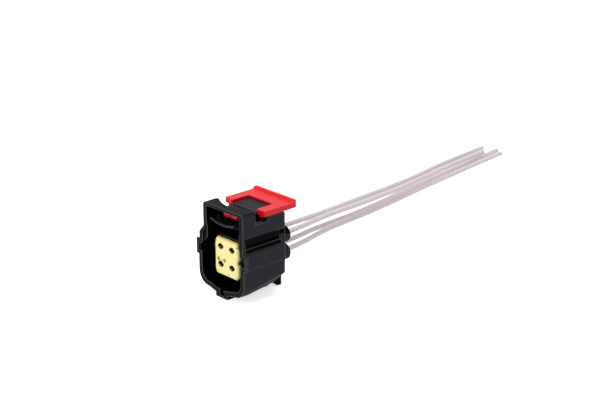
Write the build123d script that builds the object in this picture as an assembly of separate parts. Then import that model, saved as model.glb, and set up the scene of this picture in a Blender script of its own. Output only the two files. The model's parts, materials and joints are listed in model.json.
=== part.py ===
from build123d import *
from math import cos, radians, tan
import os

# Four-way sealed wire connector with its four wires, in millimetres.
# X runs across the connector, -Y is the way the plug mates, +Y is where the wires leave, +Z is up.
# Lengths below count from the front rim and from the surface the connector stands on.

# Contact grid
pitch_x = 5.0
pitch_z = 5.6
grid_z = 12.3

# Outer shell
shell_length = 17.2
lower_shell_length = 16.0
shell_top_z = 27.7
shell_base_z = 1.1
shell_wall = 1.5
upper_half_width = 8.9
lower_set_in = 1.0
lower_corner_radius = 4.2
lower_corner_taper = 0.06
corner_wedge_depth = 3.0
corner_wedge_height = 10.0
lower_arc_radius = 15.0
upper_wall_height = 7.5
channel_half_width = 7.8
channel_wall = 0.9
ledge_half_width = 8.8
channel_height = 3.0
ledge_height = 1.3

# Front flange and keyways
flange_length = 1.4
mouth_wall = 0.6
upper_setback = 0.9
shoulder_height = 1.8
shoulder_half_width = 9.8
side_key_rise = 0.2
side_key_height = 5.0
side_key_half_width = 11.2
side_key_step = 0.8
side_key_length = 0.7
side_key_mouth = 0.4
side_slot_height = 2.4
key_wall = 0.8
base_key_half_width = 2.6
base_slot_half_width = 0.9

# Bridge over the latch and the side walls behind it
bridge_thickness = 1.0
bridge_middle_length = 2.6
bridge_curve_radius = 12.0
post_length = 4.9
side_wall_drop = 2.6
side_notch_depth = 0.4
side_notch_length = 3.0
guide_slot_gap = 0.12
guide_slot_depth = 0.7

# Inner tower, web and rear block
tower_front_y = 3.2
tower_half_width = 5.3
tower_half_height = 6.0
tower_radius = 1.8
web_y = 13.4
web_thickness = 1.8
rear_block_half_width = 6.2
rear_block_half_height = 6.6
rear_block_y = 19.7
rear_gap = 0.8
tube_radius = 2.55
tube_end_y = 23.0

# Cavities
cavity_size = 2.3
seal_bore_radius = 1.95
seal_bore_depth = 6.0

# Foot tab under the rear block
tab_half_width = 4.4
tab_thickness = 1.5
tab_gusset_front_y = 15.0
tab_gusset_rise = 2.3

# Latch arm
arm_half_width = 5.2
arm_front_y = 0.5
arm_plate_drop = 2.2
arm_plate_thickness = 1.0
arm_length = 16.2
lip_drop = 0.9
lip_length = 3.8
tunnel_front_y = 4.2
tunnel_roof = 0.4
pad_front_y = 9.0
pad_length = 7.6
pad_height = 3.2
tunnel_half_width = 3.3
hinge_set_back = 0.2
hinge_thickness = 1.2
hinge_half_width = 4.2
catch_y = 3.2
catch_length = 2.6
catch_half_width = 2.4

# Red position slider
slider_half_width = 8.85
slider_gap_half_width = 5.35
slider_front_y = 9.3
slider_bar_y = 15.7
slider_rear_y = 21.8
slider_seat_gap = 0.15
slider_thickness = 1.75
slider_lip_height = 0.75
slider_lip_length = 1.0
slider_leg_gap = 0.15
slider_leg_width = 0.9
slider_leg_drop = 2.1
slider_foot_height = 0.6
slider_tongue_half_width = 2.9
slider_tongue_thickness = 0.9
slider_tongue_gap = 0.12
slider_tongue_split = 0.5
slider_tongue_split_length = 2.4
slider_tongue_front_y = 3.8
slider_tongue_root = 1.3
slider_pad_gap = 0.15
slider_rear_wall = 1.5

# Yellow terminal lock
lock_front_y = 2.0
lock_half_width = 5.6
lock_half_height = 6.25
lock_radius = 1.8
lock_thickness = 1.1
lock_round = 0.8
lock_gap = 0.1
lock_window = 1.7
lock_window_arm = 0.9
lock_blade_half_width = 4.2
lock_blade_thickness = 1.2
lock_blade_length = 3.4
lock_dimple_x = (-3.4, -0.8)
lock_dimple_drop = 1.3
lock_dimple_radius = 0.55
lock_dimple_depth = 0.3
lock_notch_depth = 0.35
lock_notch_height = 1.2
lock_notch_drop = 0.6

# Contacts
contact_front_gap = 1.6
contact_rear_gap = 0.4
contact_size = 1.9
contact_sheet = 0.25
contact_neck_length = 1.4
contact_seam = 0.1
spring_width = 0.8
spring_front_set_back = 0.5
spring_rear_set_back = 0.7
spring_gap = 0.25
spring_sheet = 0.2
crimp_length = 2.8
crimp_gap = 0.5
crimp_bore_overrun = 0.2
grip_length = 2.0

# Wires and seals
wire_diameter = 1.7
conductor_diameter = 1.0
conductor_bare_length = 3.4
seal_clearance = 0.03
seal_length = 5.0
seal_rib_count = 3
seal_rib_width = 0.9
seal_waist_radius = 1.55
seal_end_gap = 0.3
wire_fit = 0.02

# Ring seal round the tower
ring_y = 8.4
ring_length = 4.2
ring_thickness = 0.6
ring_rib_count = 3
ring_rib_height = 0.35
ring_rib_width = 0.8

# Small edge breaks
edge = 0.35
top_corner_radius = 0.9
key_corner_radius = 0.4
rib_bevel = 0.3
weld = 0.1
half_square = 45

# Worked out from the sizes above
overall_length = tube_end_y
lower_half_width = side_key_half_width - lower_set_in
side_rib_half_width = side_key_half_width - side_key_step
upper_wall_z = shell_top_z - upper_wall_height
ledge_z = upper_wall_z - channel_height
channel_floor_z = ledge_z - ledge_height
shoulder_foot_z = upper_wall_z - shoulder_height
key_half_height = side_key_height / 2
side_key_z = channel_floor_z + side_key_rise - key_half_height
side_wall_top_z = shell_top_z - side_wall_drop
arm_plate_z = side_wall_top_z - arm_plate_drop
pad_top_z = arm_plate_z + pad_height
inner_channel_half_width = channel_half_width - channel_wall
inner_shoulder_half_width = shoulder_half_width - shell_wall
inner_upper_half_width = upper_half_width - shell_wall
inner_lower_half_width = lower_half_width - shell_wall
inner_base_z = shell_base_z + shell_wall
inner_top_z = shell_top_z - bridge_thickness
web_rear_y = web_y + web_thickness
hinge_y = web_y + hinge_set_back
bore_front_y = tube_end_y - seal_bore_depth
contact_front_y = tower_front_y + contact_front_gap
grip_y = bore_front_y - contact_rear_gap - grip_length
crimp_y = grip_y - crimp_gap - crimp_length
contact_box_length = crimp_y - contact_neck_length - contact_front_y
spring_length = contact_box_length - spring_front_set_back - spring_rear_set_back
wire_start_y = grip_y - crimp_gap / 2
slider_bottom_z = side_wall_top_z + slider_seat_gap
slider_top_z = slider_bottom_z + slider_thickness
plate_top_z = arm_plate_z + arm_plate_thickness
tongue_bottom_z = plate_top_z + slider_tongue_gap
tongue_top_z = tongue_bottom_z + slider_tongue_thickness
tunnel_top_z = tongue_top_z + slider_tongue_gap
bay_floor_z = upper_wall_z + shell_wall
leg_bottom_z = slider_bottom_z - slider_leg_drop
guide_low_z = leg_bottom_z - guide_slot_gap
guide_top_z = leg_bottom_z + slider_foot_height + guide_slot_gap
grid = {
    "1": (-pitch_x / 2, grid_z + pitch_z / 2),
    "2": (pitch_x / 2, grid_z + pitch_z / 2),
    "3": (-pitch_x / 2, grid_z - pitch_z / 2),
    "4": (pitch_x / 2, grid_z - pitch_z / 2),
}

# Where each wire goes after the straight stretch through its seal, point by point
straight_end_y = 27.0
wire_routes = {
    "1": [(-4.8, 42.5, 13.9), (-11.2, 68.3, 11.4), (-21.1, 100.9, 7.9), (-30.6, 132.5, 4.6),
          (-40.2, 165.6, 0.95)],
    "2": [(-1.1, 43.2, 14.2), (-6.5, 67.1, 12.3), (-14.9, 96.9, 9.3), (-22.0, 124.8, 6.8),
          (-30.2, 154.8, 3.6)],
    "3": [(-5.6, 44.4, 8.8), (-11.0, 70.8, 7.1), (-18.8, 103.2, 4.9), (-28.3, 136.8, 2.1),
          (-35.1, 168.5, 0.95)],
    "4": [(-2.6, 45.7, 9.0), (-7.6, 71.2, 7.9), (-15.0, 102.3, 5.6), (-21.9, 131.9, 3.5),
          (-29.9, 164.0, 0.95)],
}


def front_plane(y):
    """A sketch plane facing the mating side, with X across and Z up."""
    return Plane(origin=(0, y, 0), x_dir=(1, 0, 0), z_dir=(0, -1, 0))


def prism(face, y_start, y_end):
    """Run a flat outline, drawn in X and Z, along Y."""
    return extrude(front_plane(y_end) * face, amount=y_end - y_start)


def block(x_low, x_high, y_low, y_high, z_low, z_high):
    """A plain box between two corners."""
    size = (x_high - x_low, y_high - y_low, z_high - z_low)
    centre = ((x_low + x_high) / 2, (y_low + y_high) / 2, (z_low + z_high) / 2)
    return Pos(*centre) * Box(*size)


def rounded_tower(half_width, half_height, radius, y_start, y_end):
    """A rounded rectangle round the contact grid, run along Y."""
    outline = RectangleRounded(2 * half_width, 2 * half_height, radius)
    return prism(Pos(0, grid_z) * outline, y_start, y_end)


def round_corners(face, spots, radius):
    """Round the named corners of an outline, on both sides."""
    both = [(x, z) for x, z in spots] + [(-x, z) for x, z in spots]
    corners = [v for v in face.vertices()
               if any(abs(v.X - x) < 0.01 and abs(v.Y - z) < 0.01 for x, z in both)]
    return fillet(corners, radius)


def lower_outline(half_width, base_z, corner_radius, arc_radius, top_z):
    """The shell's lower part: straight sides, round corners and a shallow arc below."""
    box = Pos(0, (top_z + base_z) / 2) * Rectangle(2 * half_width, top_z - base_z)
    disc = Pos(0, base_z + arc_radius) * Circle(arc_radius)
    above = Pos(0, base_z + arc_radius + top_z / 2) * Rectangle(2 * half_width, top_z)
    face = box & (disc + above)
    low_corners = [v for v in face.vertices() if base_z + 0.01 < v.Y < top_z - 0.01]
    return fillet(low_corners, corner_radius)


def base_key_outline():
    """The rib under the shell that it stands on."""
    return Pos(0, shell_base_z) * Rectangle(2 * base_key_half_width, 2 * shell_base_z)


def shell_body_outline():
    """Section of the shell behind the front flange, with a stepped channel along each side."""
    rib_bottom_z = side_key_z - key_half_height
    points = [
        (upper_half_width, shell_top_z),
        (upper_half_width, upper_wall_z),
        (channel_half_width, upper_wall_z),
        (channel_half_width, ledge_z),
        (ledge_half_width, ledge_z),
        (ledge_half_width, channel_floor_z),
        (side_rib_half_width, channel_floor_z),
        (side_rib_half_width, rib_bottom_z),
        (lower_half_width, rib_bottom_z),
    ]
    mirrored = [(-x, z) for x, z in reversed(points)]
    face = make_face(Polyline(*points, *mirrored, close=True))
    face = round_corners(face, [points[0]], top_corner_radius)
    face = round_corners(face, [points[6]], key_corner_radius)
    lower = lower_outline(lower_half_width, shell_base_z, lower_corner_radius, lower_arc_radius,
                          side_key_z)
    return face + lower + base_key_outline()


def flange_outline():
    """Section of the front flange: the shoulders slant out above the side keyways."""
    points = [
        (upper_half_width, shell_top_z),
        (upper_half_width, upper_wall_z),
        (shoulder_half_width, shoulder_foot_z),
        (shoulder_half_width, side_key_z),
    ]
    mirrored = [(-x, z) for x, z in reversed(points)]
    face = make_face(Polyline(*points, *mirrored, close=True))
    face = round_corners(face, [points[0]], top_corner_radius)
    lower = lower_outline(lower_half_width, shell_base_z, lower_corner_radius, lower_arc_radius,
                          side_key_z)
    return face + lower + base_key_outline()


def socket_outline(waist):
    """Inside section of the shell: narrow above, then the waist's points, then the wide lower part."""
    points = [(inner_upper_half_width, inner_top_z), *waist, (inner_lower_half_width, side_key_z)]
    mirrored = [(-x, z) for x, z in reversed(points)]
    upper = make_face(Polyline(*points, *mirrored, close=True))
    lower = lower_outline(inner_lower_half_width, inner_base_z, lower_corner_radius - shell_wall / 2,
                          lower_arc_radius - shell_wall, side_key_z + key_wall)
    return upper + lower


def key_slots(y_end):
    """The grooves inside the side and base keyways."""
    slot_reach = side_rib_half_width - key_wall
    mouth_reach = side_key_half_width - key_wall
    sides = block(-slot_reach, slot_reach, -1, y_end,
                  side_key_z - side_slot_height / 2, side_key_z + side_slot_height / 2)
    sides += block(-mouth_reach, mouth_reach, -1, side_key_mouth,
                   side_key_z - side_slot_height / 2, side_key_z + side_slot_height / 2)
    base = block(-base_slot_half_width, base_slot_half_width, -1, y_end, key_wall, grid_z)
    return sides + base


def rear_trim():
    """The lower shell ends short of the upper, and its lower corners draw in towards the rear."""
    step = block(-side_key_half_width, side_key_half_width, lower_shell_length, shell_length + 1,
                 -1, upper_wall_z)
    step -= rounded_tower(rear_block_half_width + rear_gap, rear_block_half_height + rear_gap,
                          tower_radius + rear_gap, web_rear_y, shell_length + 1)
    outline = lower_outline(lower_half_width, shell_base_z, lower_corner_radius, lower_arc_radius,
                            side_key_z)
    turned = Rot(0, 0, half_square) * outline
    corner_reach = turned.bounding_box().max.X / cos(radians(half_square))
    points = [
        (corner_reach - corner_wedge_depth, -corner_wedge_depth),
        (corner_reach + corner_wedge_height, corner_wedge_height),
        (corner_reach + corner_wedge_height, -corner_wedge_depth),
    ]
    corner = make_face(Polyline(*points, close=True))
    slant = (-lower_corner_taper, 1, lower_corner_taper)
    wedge = extrude(front_plane(flange_length) * corner, amount=lower_shell_length + 1, dir=slant)
    return step + wedge + mirror(wedge, Plane.YZ)


def upper_front_cut():
    """The upper front stands back from the lower rim, with a slanted change."""
    points = [
        (-1, shell_top_z + 1),
        (-1, shoulder_foot_z),
        (0, shoulder_foot_z),
        (upper_setback, upper_wall_z),
        (upper_setback, shell_top_z + 1),
    ]
    side = make_face(Polyline(*[(0, y, z) for y, z in points], close=True))
    wide = 2 * side_key_half_width
    return Pos(-wide / 2, 0, 0) * extrude(side, amount=wide, dir=(1, 0, 0))


def open_top_cut():
    """Opens the shell's top behind the bridge, whose rear edge is hollowed, and trims the walls."""
    middle_y = upper_setback + bridge_middle_length
    post_y = upper_setback + post_length
    above_z = shell_top_z + 1
    behind_y = shell_length + 1
    reach = side_key_half_width
    inner = inner_upper_half_width
    disc = Pos(0, middle_y + bridge_curve_radius, shell_top_z) * Cylinder(
        bridge_curve_radius, 4 * bridge_thickness)
    hollow = disc & block(-inner, inner, middle_y, post_y + bridge_thickness, inner_top_z - 1, above_z)
    bay = block(-inner, inner, post_y, behind_y, side_wall_top_z - 1, above_z)
    walls = block(-reach, reach, post_y, behind_y, side_wall_top_z, above_z)
    notch = block(-reach, reach, post_y, post_y + side_notch_length,
                  side_wall_top_z - side_notch_depth, above_z)
    return hollow + bay + walls + notch


def latch_arm():
    """The springy arm: a smile-shaped front lip, then a tunnel for the slider's tongue under a pad."""
    arm_rear_y = arm_front_y + arm_length
    sag_radius = (arm_half_width ** 2 + lip_drop ** 2) / (2 * lip_drop)
    bow = Pos(0, arm_plate_z - lip_drop + sag_radius) * Circle(sag_radius)
    bow -= Pos(0, plate_top_z - lip_drop + sag_radius) * Circle(sag_radius)
    window = Pos(0, arm_plate_z) * Rectangle(2 * arm_half_width, 2 * (lip_drop + arm_plate_thickness))
    lip = prism(bow & window, arm_front_y, arm_front_y + lip_length)
    plate = block(-arm_half_width, arm_half_width, tunnel_front_y, arm_rear_y, arm_plate_z, plate_top_z)
    cover = block(-arm_half_width, arm_half_width, tunnel_front_y, pad_front_y + edge,
                  arm_plate_z, tunnel_top_z + tunnel_roof)
    pad = block(-arm_half_width, arm_half_width, pad_front_y, pad_front_y + pad_length,
                arm_plate_z, pad_top_z)
    pad = fillet(pad.edges().filter_by(Axis.Y).group_by(Axis.Z)[-1], edge)
    tunnel = block(-tunnel_half_width, tunnel_half_width, tunnel_front_y - 1, arm_rear_y + 1,
                   plate_top_z, tunnel_top_z)
    catch = block(-catch_half_width, catch_half_width, catch_y, catch_y + catch_length,
                  arm_plate_z - lip_drop - 1, plate_top_z)
    web_low_z = grid_z + tower_half_height - edge
    web = block(-hinge_half_width, hinge_half_width, hinge_y, hinge_y + hinge_thickness,
                web_low_z, arm_plate_z + edge)
    gap = block(-hinge_half_width / 2, hinge_half_width / 2, hinge_y - 1, hinge_y + hinge_thickness + 1,
                bay_floor_z - edge, arm_plate_z - edge)
    return plate + lip + cover + pad - tunnel - catch + (web - gap)


def seal_tubes():
    """Four rear tubes that hold the wire seals."""
    circles = [Pos(x, z) * Circle(tube_radius) for x, z in grid.values()]
    return prism(Sketch() + circles, rear_block_y, tube_end_y)


def foot_tab():
    """Plate that hangs from the rear block down to the surface, with two gussets."""
    front_y = rear_block_y - tab_thickness
    low_z = grid_z - rear_block_half_height
    tab = block(-tab_half_width, tab_half_width, front_y, rear_block_y, 0, low_z + edge)
    points = [
        (front_y + weld, 0),
        (front_y + weld, low_z + edge),
        (tab_gusset_front_y, low_z + edge),
        (tab_gusset_front_y, tab_gusset_rise),
        (front_y, 0),
    ]
    rib = make_face(Polyline(*[(0, y, z) for y, z in points], close=True))
    rib = extrude(rib, amount=tab_thickness / 2, dir=(1, 0, 0))
    rib = Pos(tab_half_width - tab_thickness / 2, 0, 0) * rib
    return tab + rib + mirror(rib, Plane.YZ)


def cavity():
    """Space for one contact: a square channel with a lance above it, then the round seal bore."""
    channel = block(-cavity_size / 2, cavity_size / 2, tower_front_y - 1, bore_front_y + weld,
                    -cavity_size / 2, cavity_size / 2)
    bore_mid = (bore_front_y + tube_end_y + 1) / 2
    bore = Pos(0, bore_mid, 0) * Rot(90, 0, 0) * Cylinder(seal_bore_radius,
                                                          tube_end_y + 1 - bore_front_y)
    return channel + bore


def outer_housing():
    """One black moulding: shell, contact tower, latch arm, seal tubes and foot tab."""
    shell = prism(flange_outline(), 0, flange_length)
    keys = RectangleRounded(2 * side_key_half_width, side_key_height, key_corner_radius)
    shell += prism(Pos(0, side_key_z) * keys, 0, side_key_length)
    shell += prism(shell_body_outline(), flange_length, shell_length)
    shell -= rear_trim()
    mouth_waist = [
        (inner_upper_half_width, upper_wall_z),
        (inner_shoulder_half_width, shoulder_foot_z),
        (inner_shoulder_half_width, side_key_z + key_half_height),
    ]
    channel_waist = [
        (inner_upper_half_width, bay_floor_z),
        (inner_channel_half_width, upper_wall_z),
        (inner_channel_half_width, ledge_z),
        (inner_lower_half_width, channel_floor_z - key_wall),
    ]
    shell -= prism(socket_outline(mouth_waist), -1, flange_length - mouth_wall)
    shell -= prism(socket_outline(channel_waist), -1, web_y)
    shell -= key_slots(web_y)
    shell -= upper_front_cut()
    shell -= block(-inner_upper_half_width, inner_upper_half_width, web_y - 1, shell_length + 1,
                   bay_floor_z, shell_top_z + 1)
    shell -= open_top_cut()
    shell -= rounded_tower(rear_block_half_width + rear_gap, rear_block_half_height + rear_gap,
                           tower_radius + rear_gap, web_rear_y, shell_length + 1)
    guide_reach = inner_upper_half_width + guide_slot_depth
    shell -= block(-guide_reach, guide_reach, upper_setback + post_length, shell_length + 1,
                   guide_low_z, guide_top_z)
    tower = rounded_tower(tower_half_width, tower_half_height, tower_radius, tower_front_y, web_rear_y)
    slot_half_width = lock_blade_half_width + lock_gap
    slot_half_height = lock_blade_thickness / 2 + lock_gap
    tower -= block(-slot_half_width, slot_half_width, tower_front_y - 1,
                   lock_front_y + lock_thickness + lock_blade_length + lock_gap,
                   grid_z - slot_half_height, grid_z + slot_half_height)
    rear = rounded_tower(rear_block_half_width, rear_block_half_height, tower_radius,
                         web_rear_y, rear_block_y)
    solid = shell + tower + rear + seal_tubes() + foot_tab() + latch_arm()
    for x, z in grid.values():
        solid -= Pos(x, 0, z) * cavity()
    return solid


def terminal_lock():
    """Yellow plate over the tower's face, with a blade that runs back between the contact rows."""
    rear_y = lock_front_y + lock_thickness
    plate = rounded_tower(lock_half_width, lock_half_height, lock_radius, lock_front_y, rear_y)
    plate = fillet(plate.faces().sort_by(Axis.Y)[0].edges(), lock_round)
    blade = block(-lock_blade_half_width, lock_blade_half_width, rear_y - weld,
                  rear_y + lock_blade_length, grid_z - lock_blade_thickness / 2,
                  grid_z + lock_blade_thickness / 2)
    plate += blade
    for x, z in grid.values():
        upright = block(-lock_window_arm / 2, lock_window_arm / 2, 0, tower_front_y,
                        -lock_window / 2, lock_window / 2)
        level = block(-lock_window / 2, lock_window / 2, 0, tower_front_y,
                      -lock_window_arm / 2, lock_window_arm / 2)
        plate -= Pos(x, 0, z) * (upright + level)
    for x in lock_dimple_x:
        plate -= Pos(x, lock_front_y, grid_z - lock_dimple_drop) * Rot(90, 0, 0) * Cylinder(
            lock_dimple_radius, 2 * lock_dimple_depth)
    notch_z = grid_z - lock_notch_drop
    for side in (-1, 1):
        plate -= Pos(side * lock_half_width, lock_front_y, notch_z) * Box(
            2 * lock_notch_depth, 2 * tower_front_y, lock_notch_height)
    return plate


def cpa_slider():
    arms = block(-slider_half_width, slider_half_width, slider_front_y, slider_rear_y,
                 slider_bottom_z, slider_top_z)
    wall_y = slider_rear_y - slider_rear_wall
    arms -= block(-slider_gap_half_width, slider_gap_half_width, slider_front_y - 1, slider_bar_y,
                  slider_bottom_z - 1, slider_top_z + 1)
    arms -= block(-slider_gap_half_width, slider_gap_half_width, slider_bar_y - 1, wall_y,
                  slider_bottom_z - 1, pad_top_z + slider_pad_gap)
    lip_points = [
        (slider_rear_y - slider_lip_length - slider_lip_height, slider_top_z - weld),
        (slider_rear_y - slider_lip_length, slider_top_z + slider_lip_height),
        (slider_rear_y, slider_top_z + slider_lip_height),
        (slider_rear_y, slider_top_z - weld),
    ]
    lip = make_face(Polyline(*[(0, y, z) for y, z in lip_points], close=True))
    lip = Pos(-slider_half_width, 0, 0) * extrude(lip, amount=2 * slider_half_width, dir=(1, 0, 0))
    slider = arms + lip
    corners = [e for e in slider.edges().filter_by(Axis.Z) if e.length > slider_thickness * 0.9]
    slider = fillet(corners, edge)
    leg_out = inner_upper_half_width - slider_leg_gap
    leg_in = leg_out - slider_leg_width
    foot_out = leg_out + guide_slot_depth - slider_leg_gap
    tongue_rear_y = wall_y + slider_tongue_root
    tongue = block(-slider_tongue_half_width, slider_tongue_half_width, slider_tongue_front_y,
                   tongue_rear_y, tongue_bottom_z, tongue_top_z)
    tongue -= block(-slider_tongue_split / 2, slider_tongue_split / 2, slider_tongue_front_y - 1,
                    slider_tongue_front_y + slider_tongue_split_length, tongue_bottom_z - 1,
                    tongue_top_z + 1)
    root = block(-slider_tongue_half_width, slider_tongue_half_width, wall_y,
                 tongue_rear_y, tongue_bottom_z, slider_bottom_z + edge)
    slider += tongue + root
    for side in (-1, 1):
        leg = block(leg_in, leg_out, slider_front_y + edge, shell_length, leg_bottom_z,
                    slider_bottom_z + edge)
        foot = block(leg_in, foot_out, slider_front_y + edge, shell_length, leg_bottom_z,
                     leg_bottom_z + slider_foot_height)
        pair = leg + foot
        slider += pair if side > 0 else mirror(pair, Plane.YZ)
    return slider


def contact():
    """Stamped female contact: a folded box with a spring tongue, then two crimp barrels."""
    half = contact_size / 2
    y_box = contact_front_y + contact_box_length
    box = block(-half, half, contact_front_y, y_box, -half, half)
    inside = half - contact_sheet
    box -= block(-inside, inside, contact_front_y - 1, y_box + 1, -inside, inside)
    seam = block(-contact_seam / 2, contact_seam / 2, contact_front_y - 1, y_box + 1,
                 inside - weld, half + 1)
    box -= seam
    floor = block(-inside, inside, y_box - weld, grip_y + grip_length, -half, -half + contact_sheet)
    root_z = -inside - contact_sheet / 4
    crown_z = -spring_gap
    front_y = contact_front_y + spring_front_set_back
    middle_y = front_y + spring_length / 2
    rear_y = front_y + spring_length
    spring_points = [
        (front_y, root_z),
        (middle_y, crown_z),
        (rear_y, root_z),
        (rear_y - 2 * spring_sheet, root_z),
        (middle_y, crown_z - spring_sheet),
        (front_y + 2 * spring_sheet, root_z),
    ]
    spring = make_face(Polyline(*[(0, y, z) for y, z in spring_points], close=True))
    spring = Pos(-spring_width / 2, 0, 0) * extrude(spring, amount=spring_width, dir=(1, 0, 0))
    crimp = barrel(conductor_diameter / 2, crimp_y, crimp_length, contact_sheet)
    grip = barrel(wire_diameter / 2, grip_y, grip_length, contact_sheet)
    body = box + floor + spring + crimp + grip
    return body - barrel_bore(conductor_diameter / 2, crimp_y, crimp_length) - barrel_bore(
        wire_diameter / 2, grip_y, grip_length)


def barrel_bore(inner_radius, y, length):
    return Pos(0, y + length / 2, 0) * Rot(90, 0, 0) * Cylinder(
        inner_radius + wire_fit, length + 2 * crimp_bore_overrun)


def barrel(inner_radius, y, length, sheet):
    """Crimp barrel: a sheet rolled round the strands, with a seam on top."""
    outer = Pos(0, y + length / 2, 0) * Rot(90, 0, 0) * Cylinder(inner_radius + wire_fit + sheet, length)
    low = block(-inner_radius, inner_radius, y, y + length, -contact_size / 2, 0)
    seam = block(-contact_seam / 2, contact_seam / 2, y, y + length, 0, contact_size)
    return outer + low - seam


def conductor():
    length = conductor_bare_length
    return Pos(0, wire_start_y - length / 2, 0) * Rot(90, 0, 0) * Cylinder(conductor_diameter / 2, length)


def wire_seal():
    """Rubber sleeve with three rounded ribs that fill the bore."""
    y_end = tube_end_y - seal_end_gap
    y_start = y_end - seal_length
    inner = wire_diameter / 2 + wire_fit
    outer = seal_bore_radius - seal_clearance
    sleeve = Pos(0, (y_start + y_end) / 2, 0) * Rot(90, 0, 0) * Cylinder(seal_waist_radius, seal_length)
    step = seal_length / seal_rib_count
    for number in range(seal_rib_count):
        y = y_start + step * (number + 0.5)
        rib = Pos(0, y, 0) * Rot(90, 0, 0) * Cylinder(outer, seal_rib_width)
        sleeve += chamfer(rib.edges().filter_by(GeomType.CIRCLE), seal_rib_width * rib_bevel)
    hole = Pos(0, (y_start + y_end) / 2, 0) * Rot(90, 0, 0) * Cylinder(inner, seal_length + 2)
    return sleeve - hole


def interface_seal():
    """Rubber ring with three ribs, stretched round the tower."""
    outer_x = tower_half_width + ring_thickness
    outer_z = tower_half_height + ring_thickness
    radius = tower_radius + ring_thickness
    ring = rounded_tower(outer_x, outer_z, radius, ring_y, ring_y + ring_length)
    step = ring_length / ring_rib_count
    for number in range(ring_rib_count):
        y = ring_y + step * (number + 0.5)
        rib = rounded_tower(outer_x + ring_rib_height, outer_z + ring_rib_height,
                            radius + ring_rib_height, y - ring_rib_width / 2, y + ring_rib_width / 2)
        rib = chamfer(rib.faces().sort_by(Axis.Y)[0].edges() + rib.faces().sort_by(Axis.Y)[-1].edges(),
                      ring_rib_width * rib_bevel)
        ring += rib
    hole = rounded_tower(tower_half_width + wire_fit, tower_half_height + wire_fit, tower_radius,
                         ring_y - 1, ring_y + ring_length + 1)
    return ring - hole


def bend_radii(points):
    """Each arc is as large as its two runs allow."""
    radii = []
    for before, corner, after in zip(points, points[1:], points[2:]):
        run_in = Vector(*corner) - Vector(*before)
        run_out = Vector(*after) - Vector(*corner)
        half_turn = radians(run_in.get_angle(run_out)) / 2
        radii.append(0.45 * min(run_in.length, run_out.length) / tan(half_turn))
    return radii


def wire(number):
    x, z = grid[number]
    points = [(x, wire_start_y, z), (x, straight_end_y, z)] + wire_routes[number]
    radii = bend_radii(points)
    path = FilletPolyline(*points, radius=radii)
    section = Plane(origin=points[0], z_dir=(0, 1, 0)) * Circle(wire_diameter / 2)
    solid = sweep(section, path=path)
    print("wire", number, "length", round(path.length, 2), "radii", [round(r, 1) for r in radii],
          "volume", round(solid.volume, 2), "expected", round(section.area * path.length, 2))
    return solid


def pieces():
    parts = {
        "outer_housing": outer_housing(),
        "terminal_lock": terminal_lock(),
        "cpa_slider": cpa_slider(),
        "interface_seal": interface_seal(),
    }
    one_contact = contact()
    one_conductor = conductor()
    one_seal = wire_seal()
    for number, (x, z) in grid.items():
        place = Pos(x, 0, z)
        parts["contact_" + number] = place * one_contact
        parts["conductor_" + number] = place * one_conductor
        parts["wire_seal_" + number] = place * one_seal
        parts["wire_" + number] = wire(number)
    return parts


# The origin lies under the middle of the connector
os.makedirs("parts", exist_ok=True)
to_origin = Pos(0, -overall_length / 2, 0)
for node, shape in pieces().items():
    export_step(to_origin * shape, "parts/" + node + ".step")
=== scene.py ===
import json
from math import radians

import bmesh
import bpy
from mathutils import Matrix, Vector

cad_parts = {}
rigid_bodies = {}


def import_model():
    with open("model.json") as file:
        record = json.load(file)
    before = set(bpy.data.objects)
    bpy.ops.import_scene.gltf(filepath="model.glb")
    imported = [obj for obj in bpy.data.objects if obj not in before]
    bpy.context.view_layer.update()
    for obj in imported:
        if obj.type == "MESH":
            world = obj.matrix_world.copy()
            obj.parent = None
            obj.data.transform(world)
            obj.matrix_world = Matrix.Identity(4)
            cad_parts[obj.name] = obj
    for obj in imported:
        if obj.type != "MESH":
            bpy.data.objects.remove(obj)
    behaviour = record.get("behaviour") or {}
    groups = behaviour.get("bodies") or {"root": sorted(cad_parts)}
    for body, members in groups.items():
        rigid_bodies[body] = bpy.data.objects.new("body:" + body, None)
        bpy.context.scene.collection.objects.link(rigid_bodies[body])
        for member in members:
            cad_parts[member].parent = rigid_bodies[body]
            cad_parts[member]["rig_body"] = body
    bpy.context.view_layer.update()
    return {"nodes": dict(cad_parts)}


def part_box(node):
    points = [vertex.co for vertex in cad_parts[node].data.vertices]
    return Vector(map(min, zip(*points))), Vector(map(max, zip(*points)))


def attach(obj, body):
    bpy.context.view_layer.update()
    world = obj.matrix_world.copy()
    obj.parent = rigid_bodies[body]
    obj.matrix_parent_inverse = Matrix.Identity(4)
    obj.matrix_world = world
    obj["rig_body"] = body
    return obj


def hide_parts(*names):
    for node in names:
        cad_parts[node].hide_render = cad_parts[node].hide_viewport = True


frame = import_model()
mm = 0.001


# Outer housing of the plug: shell, contact tower, latch arm, seal tubes and foot tab.
# It is one injection moulding in black glass-filled PBT. The steel tool was finely spark-eroded, so
# the outer faces are satin with a faint grain, and the edges have the small radius of the tool.
def linear(hex_text):
    """Turns an sRGB hex colour into the linear values that the shaders take."""
    channels = [int(hex_text[i:i + 2], 16) / 255 for i in (1, 3, 5)]
    return [c / 12.92 if c <= 0.04045 else ((c + 0.055) / 1.055) ** 2.4 for c in channels] + [1.0]


def add_node(owner, kind, settings=None, links=None):
    """Adds one shader node to a material or the world, with its values and its links."""
    node = owner.node_tree.nodes.new(kind)
    for name, value in (settings or {}).items():
        if isinstance(name, str) and hasattr(node, name):
            setattr(node, name, value)
        else:
            node.inputs[name].default_value = value
    for name, source in (links or {}).items():
        owner.node_tree.links.new(source, node.inputs[name])
    return node


def new_material(name):
    """Starts a material with one Principled shader and the object's own coordinates."""
    material = bpy.data.materials.new(name)
    material.use_nodes = True
    shader = material.node_tree.nodes["Principled BSDF"]
    place = add_node(material, "ShaderNodeTexCoord").outputs["Object"]
    return material, shader, place


merge_distance = 0.002 * mm
flat_angle, sharp_angle = radians(0.5), radians(28)
strip_width_share = 0.8


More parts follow.
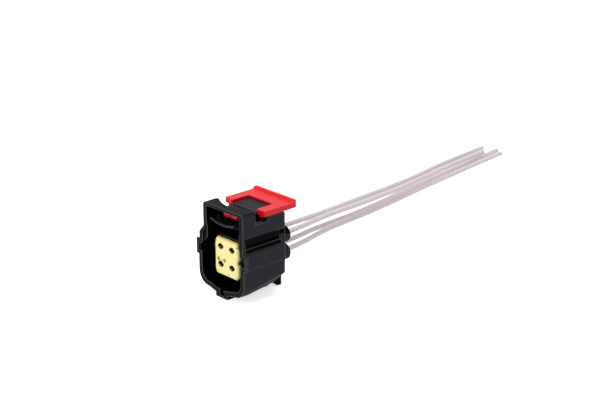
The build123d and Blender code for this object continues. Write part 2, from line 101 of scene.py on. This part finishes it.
def merged_copy(node_name):
    """Takes a copy of a rigid solid and joins its loose triangles."""
    shape = bmesh.new()
    shape.from_mesh(frame["nodes"][node_name].data)
    bmesh.ops.remove_doubles(shape, verts=shape.verts, dist=merge_distance)
    return shape


def soften(shape, node_name, piece_name, radius, finishes):
    """Rounds the sharp edges of a copied solid, glossy where they stand out, and lets it stand in."""
    mesh = bpy.data.meshes.new(piece_name)
    bmesh.ops.dissolve_limit(shape, angle_limit=flat_angle, verts=shape.verts, edges=shape.edges,
                             delimit={"NORMAL"})
    sharp = [e for e in shape.edges if e.is_manifold and e.calc_face_angle(0) > sharp_angle]
    rounds = bmesh.ops.bevel(shape, geom=sharp, offset=radius, offset_type="OFFSET", segments=2,
                             profile=0.5, affect="EDGES", clamp_overlap=False, material=-1)
    for face in rounds["faces"]:
        width = 2 * face.calc_area() / face.calc_perimeter()
        bend = sum(edge.calc_face_angle_signed(0) for edge in face.edges)
        if width < strip_width_share * radius and bend > 0:
            face.material_index = 1
    for face in shape.faces:
        face.smooth = True
    shape.to_mesh(mesh)
    shape.free()
    piece = bpy.data.objects.new(piece_name, mesh)
    bpy.context.scene.collection.objects.link(piece)
    normals = piece.modifiers.new("weighted", "WEIGHTED_NORMAL")
    normals.keep_sharp = False
    for finish in finishes:
        mesh.materials.append(finish)
    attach(piece, frame["nodes"][node_name]["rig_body"])
    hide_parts(node_name)
    return piece


# Outside, the moulding is a soft dark grey, partly its own tone and partly painted sheen, as its shine
# is kept very low; the rim and the bridge get a darker grey, which is painted shade.
black_finishes = []
for name, dark, pale in (("black_glass_filled_PBT", "#2a2a2f", "#323138"),
                         ("black_PBT_rubbed_rim", "#131316", "#1a1a1d")):
    moulded, shader, place = new_material(name)
    flow = add_node(moulded, "ShaderNodeTexNoise", {"Scale": 1 / (4.0 * mm), "Detail": 3.0},
                    {"Vector": place})
    textured = add_node(moulded, "ShaderNodeMix",
                        {"data_type": "RGBA", "A": linear(dark), "B": linear(pale)},
                        {"Factor": flow.outputs["Fac"]})
    # Spark-eroded texture is about 0.05 mm fine; drawn at 0.35 mm so that it shows.
    grain = add_node(moulded, "ShaderNodeTexNoise", {"Scale": 1 / (0.35 * mm), "Detail": 3.0},
                     {"Vector": place})
    fibre = add_node(moulded, "ShaderNodeMapRange", {"From Min": 0.62, "From Max": 0.8, "To Max": 0.35},
                     {"Value": grain.outputs["Fac"]})
    tone = add_node(moulded, "ShaderNodeMix", {"data_type": "RGBA", "B": linear("#45454c")},
                    {"Factor": fibre.outputs["Result"], "A": textured.outputs["Result"]})
    sheen = add_node(moulded, "ShaderNodeMapRange", {"To Min": 0.5, "To Max": 0.64},
                     {"Value": flow.outputs["Fac"]})
    relief = add_node(moulded, "ShaderNodeBump", {"Strength": 0.5, "Distance": 0.02 * mm},
                      {"Height": grain.outputs["Fac"]})
    shader.inputs["IOR"].default_value = 1.5
    shader.inputs["Specular IOR Level"].default_value = 0.04
    moulded.node_tree.links.new(tone.outputs["Result"], shader.inputs["Base Color"])
    moulded.node_tree.links.new(sheen.outputs["Result"], shader.inputs["Roughness"])
    moulded.node_tree.links.new(relief.outputs["Normal"], shader.inputs["Normal"])
    black_finishes.append(moulded)
black_pbt, black_rim_painted_shade = black_finishes

# Painted shade: the inside, the side channels and the tab, which the shell shades, are painted nearly
# black with little shine; their lower roughness is the smooth face of the tool's polished core.
painted_shade_black, shader, place = new_material("black_PBT_painted_shade_inside")
swirl = add_node(painted_shade_black, "ShaderNodeTexNoise", {"Scale": 1 / (2.0 * mm), "Detail": 3.0},
                 {"Vector": place})
tone = add_node(painted_shade_black, "ShaderNodeMix",
                {"data_type": "RGBA", "A": linear("#020203"), "B": linear("#060609")},
                {"Factor": swirl.outputs["Fac"]})
sheen = add_node(painted_shade_black, "ShaderNodeMapRange", {"To Min": 0.2, "To Max": 0.36},
                 {"Value": swirl.outputs["Fac"]})
painted_shade_black.node_tree.links.new(tone.outputs["Result"], shader.inputs["Base Color"])
painted_shade_black.node_tree.links.new(sheen.outputs["Result"], shader.inputs["Roughness"])
shader.inputs["IOR"].default_value = 1.5
shader.inputs["Specular IOR Level"].default_value = 0.02

# The tool's edges were stoned smooth, so the moulding's own edges catch a thin line of light.
black_edge, shader, place = new_material("black_PBT_polished_edges")
rub = add_node(black_edge, "ShaderNodeTexNoise", {"Scale": 1 / (0.8 * mm), "Detail": 2.0},
               {"Vector": place})
sheen = add_node(black_edge, "ShaderNodeMapRange", {"To Min": 0.12, "To Max": 0.28},
                 {"Value": rub.outputs["Fac"]})
black_edge.node_tree.links.new(sheen.outputs["Result"], shader.inputs["Roughness"])
shader.inputs["Base Color"].default_value = linear("#111114")
shader.inputs["IOR"].default_value = 1.5

# Small fits to the photograph, made on the copy of the solid: lower corners, side notch, latch lip.
edge_radius = 0.17 * mm
corner_wall_x, corner_base_z = 7.2 * mm, 5.0 * mm
corner_start, corner_full = 4.6 * mm, 8.3 * mm
corner_top, corner_low, corner_fall = 9.0 * mm, 4.0 * mm, 0.9 * mm
notch_inner_x, notch_front_y, notch_rear_y = 7.3 * mm, -5.8 * mm, -2.6 * mm
notch_floor_low, notch_floor_high, notch_depth = 24.6 * mm, 24.8 * mm, 0.8 * mm
notch_end_front, notch_end_rear, notch_longer = -3.3 * mm, -2.4 * mm, 1.8 * mm
notch_end_low, notch_end_high = 23.7 * mm, 25.3 * mm
lip_half_width, lip_rear_y = 5.3 * mm, -7.0 * mm
lip_low, lip_bow, lip_thinner, lip_reach = 22.0 * mm, 15.47 * mm, 0.4 * mm, 0.12 * mm

# Where the painted shade lies: nearly black in the socket, the side channels and the foot tab, darker
# grey on the rim and the bridge.
socket_middle_z, web_front_y, rim_y = 14.0 * mm, 1.9 * mm, -10.5 * mm
bridge_under_x, bridge_under_z, bridge_rear_y = 7.3 * mm, 26.6 * mm, -5.8 * mm
bridge_top_x, bridge_top_y, bridge_top_z = 9.0 * mm, -6.0 * mm, 26.0 * mm
channel_x, channel_low_z, channel_high_z = 8.85 * mm, 15.8 * mm, 20.25 * mm
tab_half_width, tab_front_y, tab_top_z = 4.6 * mm, 3.0 * mm, 3.5 * mm


def ease(value, start, full):
    """Goes smoothly from 0 at start to 1 at full."""
    share = min(max((value - start) / (full - start), 0.0), 1.0)
    return share * share * (3 - 2 * share)


housing = merged_copy("outer_housing")
for corner in housing.verts:
    x, y, z = abs(corner.co.x), corner.co.y, corner.co.z
    if x > corner_wall_x or z < corner_base_z:
        corner.co.z -= corner_fall * ease(x, corner_start, corner_full) * ease(z, corner_top, corner_low)
    if x > notch_inner_x and notch_front_y < y < notch_rear_y and notch_floor_low < z < notch_floor_high:
        corner.co.z -= notch_depth
    if x > notch_inner_x and notch_end_front < y < notch_end_rear and notch_end_low < z < notch_end_high:
        corner.co.y += notch_longer
    if x < lip_half_width and y < lip_rear_y:
        lip_under = lip_low + lip_bow - (lip_bow ** 2 - x ** 2) ** 0.5
        if abs(z - lip_under) < lip_reach:
            corner.co.z += lip_thinner
housing.normal_update()
for face in housing.faces:
    middle, out = face.calc_center_median(), face.normal
    x, y, z = abs(middle.x), middle.y, middle.z
    faces_inwards = out.x * middle.x + out.z * (middle.z - socket_middle_z) < -0.2 * mm
    under_bridge = x < bridge_under_x and z < bridge_under_z and y < bridge_rear_y
    in_socket = y < web_front_y and (faces_inwards or under_bridge)
    in_channel = x < channel_x and channel_low_z < z < channel_high_z
    on_rim = out.y < -0.7 and y < rim_y
    on_tab = x < tab_half_width and y > tab_front_y and z < tab_top_z
    on_bridge = x < bridge_top_x and y < bridge_top_y and z > bridge_top_z and out.z > 0.5
    # Slot 2 takes the nearly black painted shade, slot 3 the darker grey painted shade.
    if (in_socket or in_channel) and not on_rim or on_tab:
        face.material_index = 2
    elif on_rim or on_bridge:
        face.material_index = 3
soften(housing, "outer_housing", "housing_moulding", edge_radius,
       [black_pbt, black_edge, painted_shade_black, black_rim_painted_shade])


# The four sockets in the tower: a folded box and two crimp barrels stamped from phosphor bronze
# strip, reflow-tinned, so they are pale grey with a soft lustre; deep in the sockets their colour is
# painted near black as painted shade. The bared ends of the stranded copper wires sit in the front
# barrels.
tinned_bronze, shader, place = new_material("reflow_tinned_bronze")
shader.inputs["Metallic"].default_value = 1.0
smear = add_node(tinned_bronze, "ShaderNodeTexNoise", {"Scale": 1 / (0.6 * mm), "Detail": 2.0},
                 {"Vector": place})
tone = add_node(tinned_bronze, "ShaderNodeMix",
                {"data_type": "RGBA", "A": linear("#8b8780"), "B": linear("#a5a29a")},
                {"Factor": smear.outputs["Fac"]})
gloss = add_node(tinned_bronze, "ShaderNodeMapRange", {"To Min": 0.25, "To Max": 0.42},
                 {"Value": smear.outputs["Fac"]})
# Painted shade: ambient occlusion darkens the tin towards #0c0b09 where the sockets enclose it.
open_to_air = add_node(tinned_bronze, "ShaderNodeAmbientOcclusion",
                       {"samples": 8, "only_local": False, "Distance": 2.0 * mm})
bright = add_node(tinned_bronze, "ShaderNodeMapRange", {"From Min": 0.7, "From Max": 1.0},
                  {"Value": open_to_air.outputs["AO"]})
lit = add_node(tinned_bronze, "ShaderNodeMix", {"data_type": "RGBA", "A": linear("#0c0b09")},
               {"Factor": bright.outputs["Result"], "B": tone.outputs["Result"]})
tinned_bronze.node_tree.links.new(lit.outputs["Result"], shader.inputs["Base Color"])
tinned_bronze.node_tree.links.new(gloss.outputs["Result"], shader.inputs["Roughness"])

bare_copper, shader, place = new_material("bare_copper_strands")
shader.inputs["Metallic"].default_value = 1.0
shader.inputs["Roughness"].default_value = 0.32
lay = add_node(bare_copper, "ShaderNodeTexWave", {"Scale": 1 / (1.2 * mm), "Distortion": 0.4},
               {"Vector": place})
tone = add_node(bare_copper, "ShaderNodeMix",
                {"data_type": "RGBA", "A": linear("#b0643c"), "B": linear("#d8905f")},
                {"Factor": lay.outputs["Fac"]})
bare_copper.node_tree.links.new(tone.outputs["Result"], shader.inputs["Base Color"])

for number in "1234":
    frame["nodes"]["contact_" + number].data.materials.clear()
    frame["nodes"]["contact_" + number].data.materials.append(tinned_bronze)
    frame["nodes"]["conductor_" + number].data.materials.clear()
    frame["nodes"]["conductor_" + number].data.materials.append(bare_copper)


# Ring seal round the tower and the four wire seals: moulded silicone rubber, pushed in oiled.
# They are nearly black, with the low broad shine of rubber.
silicone, shader, place = new_material("oiled_silicone_rubber")
mottle = add_node(silicone, "ShaderNodeTexNoise", {"Scale": 1 / (1.5 * mm), "Detail": 2.0},
                  {"Vector": place})
tone = add_node(silicone, "ShaderNodeMix",
                {"data_type": "RGBA", "A": linear("#141416"), "B": linear("#1c1c1f")},
                {"Factor": mottle.outputs["Fac"]})
silicone.node_tree.links.new(tone.outputs["Result"], shader.inputs["Base Color"])
shader.inputs["Roughness"].default_value = 0.5
shader.inputs["IOR"].default_value = 1.42
soft_nodes = ["interface_seal"] + ["wire_seal_" + number for number in "1234"]
for name in soft_nodes:
    frame["nodes"][name].data.materials.clear()
    frame["nodes"][name].data.materials.append(silicone)


# Terminal lock: a pale yellow plate in unfilled PBT that covers the tower's nose, with a blade that
# slides between the two rows of sockets. A little light passes into it, so its edges look warmer.
yellow_pbt, shader, place = new_material("yellow_PBT")
cloud = add_node(yellow_pbt, "ShaderNodeTexNoise", {"Scale": 1 / (3.0 * mm), "Detail": 2.0},
                 {"Vector": place})
open_face = add_node(yellow_pbt, "ShaderNodeMix",
                     {"data_type": "RGBA", "A": linear("#fbe897"), "B": linear("#ffefa6")},
                     {"Factor": cloud.outputs["Fac"]})
# Painted shade: ambient occlusion darkens the yellow to olive and near black where the plate is
# enclosed; open faces keep their own colour and pin marks.
open_to_air = add_node(yellow_pbt, "ShaderNodeAmbientOcclusion",
                       {"samples": 8, "only_local": False, "Distance": 1.5 * mm})
shade = add_node(yellow_pbt, "ShaderNodeValToRGB", {}, {"Fac": open_to_air.outputs["AO"]})
shade.color_ramp.elements[0].position = 0.5
shade.color_ramp.elements[0].color = linear("#0e0b03")
shade.color_ramp.elements[1].position = 0.68
shade.color_ramp.elements[1].color = linear("#b8a93c")
outer_face = add_node(yellow_pbt, "ShaderNodeMapRange", {"From Min": 0.68, "From Max": 0.86},
                      {"Value": open_to_air.outputs["AO"]})
# Ejector pins left two round marks of about 1 mm and two small ones, greener than the face.
pin_marks = ((-3.4, 11.0, 0.62), (-0.8, 11.0, 0.62), (-3.7, 7.3, 0.34), (0.9, 7.1, 0.34))
marked_face = open_face.outputs["Result"]
for x, z, reach in pin_marks:
    spot = add_node(yellow_pbt, "ShaderNodeVectorMath", {"operation": "MULTIPLY", 1: (1.0, 0.0, 1.0)},
                    {0: place})
    away = add_node(yellow_pbt, "ShaderNodeVectorMath",
                    {"operation": "DISTANCE", 1: (x * mm, 0.0, z * mm)}, {0: spot.outputs["Vector"]})
    inside = add_node(yellow_pbt, "ShaderNodeMapRange",
                      {"From Min": reach * mm, "From Max": 0.7 * reach * mm},
                      {"Value": away.outputs["Value"]})
    marked = add_node(yellow_pbt, "ShaderNodeMix", {"data_type": "RGBA", "B": linear("#c9bd3e")},
                      {"Factor": inside.outputs["Result"], "A": marked_face})
    marked_face = marked.outputs["Result"]
tone = add_node(yellow_pbt, "ShaderNodeMix", {"data_type": "RGBA"},
                {"Factor": outer_face.outputs["Result"], "A": shade.outputs["Color"],
                 "B": marked_face})
yellow_pbt.node_tree.links.new(tone.outputs["Result"], shader.inputs["Base Color"])
shader.inputs["Roughness"].default_value = 0.38
shader.inputs["Specular IOR Level"].default_value = 0.4
shader.inputs["Subsurface Weight"].default_value = 0.1
shader.inputs["Subsurface Radius"].default_value = (1.0, 0.7, 0.25)
shader.inputs["Subsurface Scale"].default_value = 0.4 * mm

# Painted shade: the walls of the windows are painted dark olive for the shade they lie in.
window_wall, shader, place = new_material("yellow_PBT_painted_shade_windows")
shader.inputs["Roughness"].default_value = 0.5
cloud = add_node(window_wall, "ShaderNodeTexNoise", {"Scale": 1 / (3.0 * mm), "Detail": 2.0},
                 {"Vector": place})
tone = add_node(window_wall, "ShaderNodeMix",
                {"data_type": "RGBA", "A": linear("#1b1604"), "B": linear("#2a2208")},
                {"Factor": cloud.outputs["Fac"]})
window_wall.node_tree.links.new(tone.outputs["Result"], shader.inputs["Base Color"])

# Small fits to the photograph: wider windows, a lower top and sides that stand further in.
plate_edge_radius = 0.12 * mm
column_x, row_rise, middle_z = 2.5 * mm, 2.8 * mm, 12.3 * mm
window_reach, window_wider, window_taller = 0.95 * mm, 1.4, 1.05
wall_reach_x, wall_reach_z, wall_rear_gap = 1.35 * mm, 1.2 * mm, 0.3 * mm
wall_largest = 3.0 * mm * mm
top_start, top_full, top_drop = 16.3 * mm, 17.4 * mm, 0.8 * mm
side_start, side_full, side_inset = 4.3 * mm, 5.0 * mm, 0.35 * mm
lock = merged_copy("terminal_lock")
lock_rear_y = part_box("terminal_lock")[1].y
for corner in lock.verts:
    for column in (-column_x, column_x):
        for row in (middle_z - row_rise, middle_z + row_rise):
            across, upward = corner.co.x - column, corner.co.z - row
            if max(abs(across), abs(upward)) < window_reach:
                corner.co.x = column + across * window_wider
                corner.co.z = row + upward * window_taller
    corner.co.z -= top_drop * ease(corner.co.z, top_start, top_full)
    outwards = 1 if corner.co.x > 0 else -1
    corner.co.x -= side_inset * ease(abs(corner.co.x), side_start, side_full) * outwards
# Faces of the window walls take the dark olive painted shade.
for face in lock.faces:
    middle = face.calc_center_median()
    in_window = (abs(abs(middle.x) - column_x) < wall_reach_x
                 and abs(abs(middle.z - middle_z) - row_rise) < wall_reach_z)
    is_wall = abs(face.normal.y) < 0.3 and face.calc_area() < wall_largest
    if in_window and is_wall and middle.y < lock_rear_y - wall_rear_gap:
        face.material_index = 2
soften(lock, "terminal_lock", "terminal_lock_plate", plate_edge_radius,
       [yellow_pbt, yellow_pbt, window_wall])


# Position slider: a red fork moulded in unfilled PBT. Its legs ride in the side walls and its tongue
# runs under the latch. It is glossier than the housing, and a little light passes into it.
red_pbt, shader, place = new_material("red_PBT")
cloud = add_node(red_pbt, "ShaderNodeTexNoise", {"Scale": 1 / (3.0 * mm), "Detail": 2.0},
                 {"Vector": place})
tone = add_node(red_pbt, "ShaderNodeMix",
                {"data_type": "RGBA", "A": linear("#d80816"), "B": linear("#e30c1e")},
                {"Factor": cloud.outputs["Fac"]})
red_pbt.node_tree.links.new(tone.outputs["Result"], shader.inputs["Base Color"])
shader.inputs["Roughness"].default_value = 0.4
shader.inputs["Specular IOR Level"].default_value = 0.25
shader.inputs["Subsurface Weight"].default_value = 0.1
shader.inputs["Subsurface Radius"].default_value = (1.0, 0.2, 0.15)
shader.inputs["Subsurface Scale"].default_value = 0.8 * mm
red_edge, shader, place = new_material("red_PBT_polished_edges")
shader.inputs["Base Color"].default_value = linear("#e8182c")
shader.inputs["Roughness"].default_value = 0.25
shader.inputs["Subsurface Weight"].default_value = 0.1
shader.inputs["Subsurface Radius"].default_value = (1.0, 0.2, 0.15)
shader.inputs["Subsurface Scale"].default_value = 0.8 * mm
slider_edge_radius = 0.14 * mm
soften(merged_copy("cpa_slider"), "cpa_slider", "position_slider", slider_edge_radius,
       [red_pbt, red_edge])


# The four single wires: stranded copper in a thin wall of extruded cross-linked polyethylene, pale
# mauve grey. The jacket is satin and drawn lengthwise, and each wire ends where it was cut.
# Each line runs from the crimp, straight out of its seal, and then loosely to the cut end.
wire_diameter = 1.7 * mm
wire_points = {
    "1": [(-2.5, 2.85, 15.1), (-2.5, 15.5, 15.1), (-4.8, 31.0, 13.9), (-11.1, 56.9, 11.5),
          (-20.5, 89.9, 7.5), (-30.5, 121.9, 5.0), (-40.2, 153.9, 0.95)],
    "2": [(2.5, 2.85, 15.1), (2.5, 15.5, 15.1), (-1.5, 31.4, 14.4), (-6.4, 55.5, 12.0),
          (-14.5, 85.6, 9.1), (-22.2, 113.7, 7.4), (-30.8, 142.9, 3.9)],
    "3": [(-2.5, 2.85, 9.5), (-2.5, 15.5, 9.5), (-6.2, 32.3, 8.9), (-11.1, 58.8, 6.7),
          (-19.2, 91.3, 5.2), (-28.3, 124.8, 2.5), (-34.5, 155.9, 0.95)],
    "4": [(2.5, 2.85, 9.5), (2.5, 15.5, 9.5), (-3.1, 33.6, 9.0), (-7.5, 59.3, 7.4),
          (-15.1, 90.4, 5.7), (-21.7, 120.0, 4.2), (-29.1, 151.5, 1.9)],
}
jacket, shader, place = new_material("grey_polyethylene_jacket")
stretch = add_node(jacket, "ShaderNodeMapping", {"Scale": (1.0, 0.12, 1.0)}, {"Vector": place})
streak = add_node(jacket, "ShaderNodeTexNoise", {"Scale": 1 / (1.2 * mm), "Detail": 3.0},
                  {"Vector": stretch.outputs["Vector"]})
tone = add_node(jacket, "ShaderNodeMix",
                {"data_type": "RGBA", "A": linear("#d6cbd1"), "B": linear("#e1d8dd")},
                {"Factor": streak.outputs["Fac"]})
gloss = add_node(jacket, "ShaderNodeMapRange", {"To Min": 0.36, "To Max": 0.52},
                 {"Value": streak.outputs["Fac"]})
jacket.node_tree.links.new(tone.outputs["Result"], shader.inputs["Base Color"])
jacket.node_tree.links.new(gloss.outputs["Result"], shader.inputs["Roughness"])

for number, points in wire_points.items():
    curve = bpy.data.curves.new("wire_jacket_" + number, "CURVE")
    curve.dimensions = "3D"
    spline = curve.splines.new("NURBS")
    spline.points.add(len(points) - 1)
    for point, (x, y, z) in zip(spline.points, points):
        point.co = (x * mm, y * mm, z * mm, 1.0)
    spline.order_u = 3
    spline.use_endpoint_u = True
    spline.resolution_u = 16
    curve.bevel_depth = wire_diameter / 2
    curve.bevel_resolution = 8
    curve.use_fill_caps = True
    curve.materials.append(jacket)
    wire = bpy.data.objects.new("wire_jacket_" + number, curve)
    bpy.context.scene.collection.objects.link(wire)
    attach(wire, "connector")
    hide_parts("wire_" + number)
    line_only = curve.copy()
    line_only.bevel_depth = 0
    length_probe = bpy.data.objects.new("length_probe", line_only)
    bpy.context.scene.collection.objects.link(length_probe)
    path = bpy.data.meshes.new_from_object(length_probe)
    bpy.data.objects.remove(length_probe)
    bpy.data.meshes.remove(path)
    bpy.data.curves.remove(line_only)


# Floor, light and camera: a sweep of white paper, one wide soft lamp above and a weaker one in
# front. The paper and the studio show as white, and the paper keeps the object's faint shadow.
white_sweep, shader, place = new_material("white_paper_sweep")
shader.inputs["Base Color"].default_value = linear("#f4f4f4")
shader.inputs["Roughness"].default_value = 0.9
floor_mesh = bpy.data.meshes.new("paper_sweep")
shape = bmesh.new()
bmesh.ops.create_grid(shape, x_segments=1, y_segments=1, size=3.0)
shape.to_mesh(floor_mesh)
shape.free()
floor_mesh.materials.append(white_sweep)
floor = bpy.data.objects.new("paper_sweep", floor_mesh)
bpy.context.scene.collection.objects.link(floor)

lift = add_node(white_sweep, "ShaderNodeEmission", {"Color": (1, 1, 1, 1), "Strength": 0.68})
seen = add_node(white_sweep, "ShaderNodeLightPath")
seen_or_glossy = add_node(white_sweep, "ShaderNodeMath", {"operation": "MAXIMUM"},
                          {0: seen.outputs["Is Camera Ray"], 1: seen.outputs["Is Glossy Ray"]})
seen_at_all = add_node(white_sweep, "ShaderNodeMath", {"operation": "MAXIMUM"},
                       {0: seen_or_glossy.outputs["Value"], 1: seen.outputs["Is Transmission Ray"]})
dark = add_node(white_sweep, "ShaderNodeEmission", {"Color": (0, 0, 0, 1), "Strength": 0.0})
glow = add_node(white_sweep, "ShaderNodeMixShader", {},
                {0: seen_at_all.outputs["Value"], 1: dark.outputs[0], 2: lift.outputs[0]})
both = add_node(white_sweep, "ShaderNodeAddShader", {}, {0: shader.outputs[0], 1: glow.outputs[0]})
white_sweep.node_tree.links.new(both.outputs[0],
                                white_sweep.node_tree.nodes["Material Output"].inputs["Surface"])

world = bpy.data.worlds.new("studio")
bpy.context.scene.world = world
world.use_nodes = True
sky = world.node_tree.nodes["Background"]
sky.inputs["Color"].default_value = (1, 1, 1, 1)
sky.inputs["Strength"].default_value = 0.42
white = add_node(world, "ShaderNodeBackground", {"Color": (1, 1, 1, 1)})
rays = add_node(world, "ShaderNodeLightPath")
seen_or_glossy = add_node(world, "ShaderNodeMath", {"operation": "MAXIMUM"},
                          {0: rays.outputs["Is Camera Ray"], 1: rays.outputs["Is Glossy Ray"]})
seen_at_all = add_node(world, "ShaderNodeMath", {"operation": "MAXIMUM"},
                       {0: seen_or_glossy.outputs["Value"], 1: rays.outputs["Is Transmission Ray"]})
choice = add_node(world, "ShaderNodeMixShader", {},
                  {0: seen_at_all.outputs["Value"], 1: sky.outputs[0], 2: white.outputs[0]})
world.node_tree.links.new(choice.outputs[0], world.node_tree.nodes["World Output"].inputs["Surface"])

for name, where, aim, size, power in (
        ("top_softbox", (-0.08, 0.12, 0.6), (0, 0.03, 0), 0.6, 2.6),
        ("front_softbox", (-0.02, -0.5, 0.22), (0, 0, 0.01), 0.4, 1.15)):
    lamp = bpy.data.lights.new(name, "AREA")
    lamp.shape = "DISK"
    lamp.size = size
    lamp.energy = power
    holder = bpy.data.objects.new(name, lamp)
    holder.location = where
    holder.rotation_euler = (Vector(aim) - Vector(where)).to_track_quat("-Z", "Y").to_euler()
    bpy.context.scene.collection.objects.link(holder)

# The camera's place and turn are fitted to the plug's edges in the photograph.
lens = bpy.data.cameras.new("camera")
lens.lens = 84.0
lens.sensor_width = 36.0
camera = bpy.data.objects.new("camera", lens)
right = Vector((0.6809, 0.7324, 0.0))
up = Vector((-0.2478, 0.2304, 0.9411))
back = Vector((0.6892, -0.6407, 0.3384))
turn = Matrix((right, up, back)).transposed().to_4x4()
camera.matrix_world = Matrix.Translation((0.291604, -0.251218, 0.166039)) @ turn
bpy.context.scene.collection.objects.link(camera)
bpy.context.scene.camera = camera
bpy.context.scene.view_settings.view_transform = "Standard"
